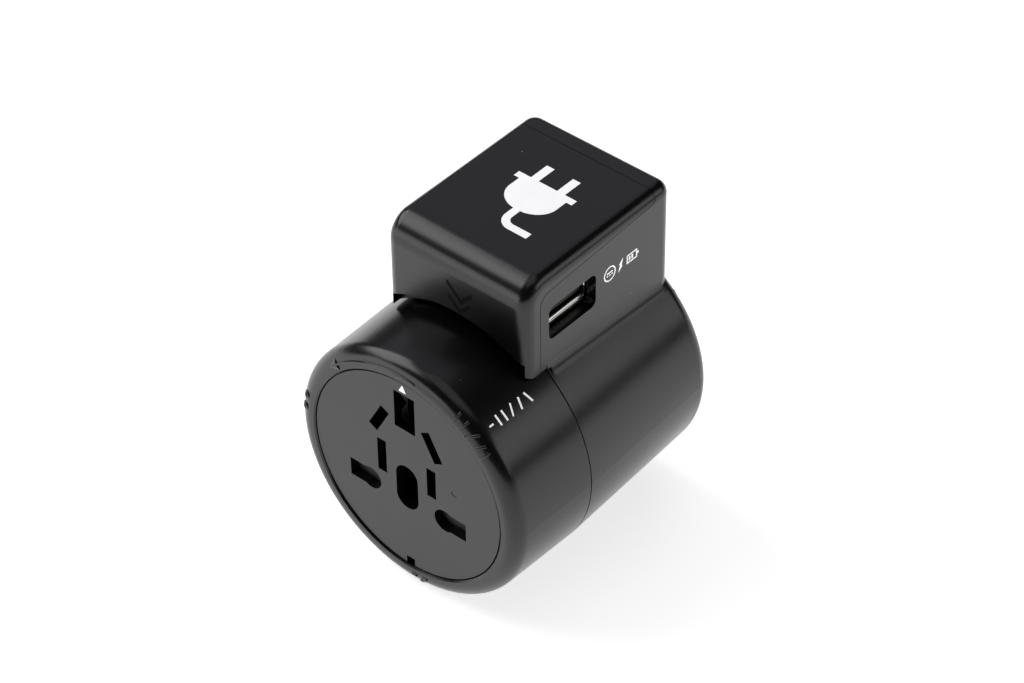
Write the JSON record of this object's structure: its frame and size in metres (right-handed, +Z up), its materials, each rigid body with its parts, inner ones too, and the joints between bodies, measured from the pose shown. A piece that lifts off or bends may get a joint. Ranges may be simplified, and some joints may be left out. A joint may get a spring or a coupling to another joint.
{
  "type": "universal travel adapter",
  "caption": "Round travel adapter with a raised charger box: a multi-country socket in front, a twist collar, slide-out plug pins at the rear and a USB port in the side.",
  "frame": {"origin": "middle of the underside of the whole adapter, standing with its box uppermost", "axes": "+X to the side with the USB port, -Y the way the socket faces, +Y the way the plug pins leave, +Z up towards the top of the box"},
  "size_m": [0.0572, 0.0596, 0.0747],
  "materials": {
    "shell_plastic": "satin black moulded plastic, very fine texture",
    "plate_plastic": "satin black moulded plastic",
    "inner_plastic": "matt black moulded plastic",
    "shutter_plastic": "matt dark grey moulded plastic",
    "white_print": "white pad-printed ink, on the marks",
    "carriage_plastic": "dark grey moulded plastic",
    "nickel": "bright nickel plate",
    "steel": "bare steel",
    "brass": "rolled brass strip",
    "fuse_ceramic": "white ceramic",
    "circuit_board": "green solder mask",
    "winding": "yellow tape over a ferrite core",
    "can": "capacitor cans",
    "chip_plastic": "black moulded packages"
  },
  "bodies": {
    "base": {"rear_housing": "shell_plastic", "top_cover": "shell_plastic", "face_plate": "plate_plastic", "socket_core": "inner_plastic", "contact_line": "brass", "contact_neutral": "brass", "contact_earth": "brass", "rear_plate": "plate_plastic", "rear_plate_screws": "steel", "inner_frame": "inner_plastic", "detent_spring": "steel", "fuse": "fuse_ceramic", "fuse_clips": "brass", "guide_rods": "steel", "bus_rails": "brass", "usb_board": "circuit_board", "usb_port_shell": "nickel", "usb_port_tongue": "inner_plastic", "usb_contacts": "brass", "transformer": "winding", "capacitors": "can", "board_chips": "chip_plastic", "shutter_spring": "steel"},
    "collar": {"twist_collar": "shell_plastic", "cam_ring": "inner_plastic", "collar_retaining_ring": "steel"},
    "shutter": {"socket_shutter": "shutter_plastic"},
    "us_plug": {"us_carriage": "carriage_plastic", "us_follower_pin": "steel"},
    "us_left": {"us_blade_left": "nickel"},
    "us_right": {"us_blade_right": "nickel"},
    "eu_plug": {"eu_carriage": "carriage_plastic", "eu_pins": "nickel"},
    "uk_plug": {"uk_carriage": "carriage_plastic", "uk_line_neutral_pins": "nickel", "uk_earth_pin": "nickel"}
  },
  "joints": [
    {"name": "collar_twist", "type": "hinge", "parent": "base", "child": "collar", "pos_m": [0, -0.0198, 0.0289], "axis": [0, -1, 0], "range_deg": [0, 40]},
    {"name": "us_slide", "type": "slide", "parent": "base", "child": "us_plug", "axis": [0, 1, 0], "range_m": [0, 0.0163]},
    {"name": "us_left_swivel", "type": "hinge", "parent": "us_plug", "child": "us_left", "pos_m": [-0.00635, 0.0102, 0.0159], "axis": [0, 1, 0], "range_deg": [0, 30]},
    {"name": "us_right_swivel", "type": "hinge", "parent": "us_plug", "child": "us_right", "pos_m": [0.00635, 0.0102, 0.0159], "axis": [0, -1, 0], "range_deg": [0, 30]},
    {"name": "eu_slide", "type": "slide", "parent": "base", "child": "eu_plug", "axis": [0, 1, 0], "range_m": [0, 0.0193]},
    {"name": "uk_slide", "type": "slide", "parent": "base", "child": "uk_plug", "axis": [0, 1, 0], "range_m": [0, 0.023]},
    {"name": "shutter_slide", "type": "slide", "parent": "base", "child": "shutter", "axis": [0, 0, -1], "range_m": [0, 0.0052], "stiffness_N_per_m": 60, "springref_m": -0.004, "deforming": ["shutter_spring"]}
  ],
  "couplings": [
    {"joint": "us_slide", "follows": "collar_twist", "m_per_rad": 0.02334}
  ]
}
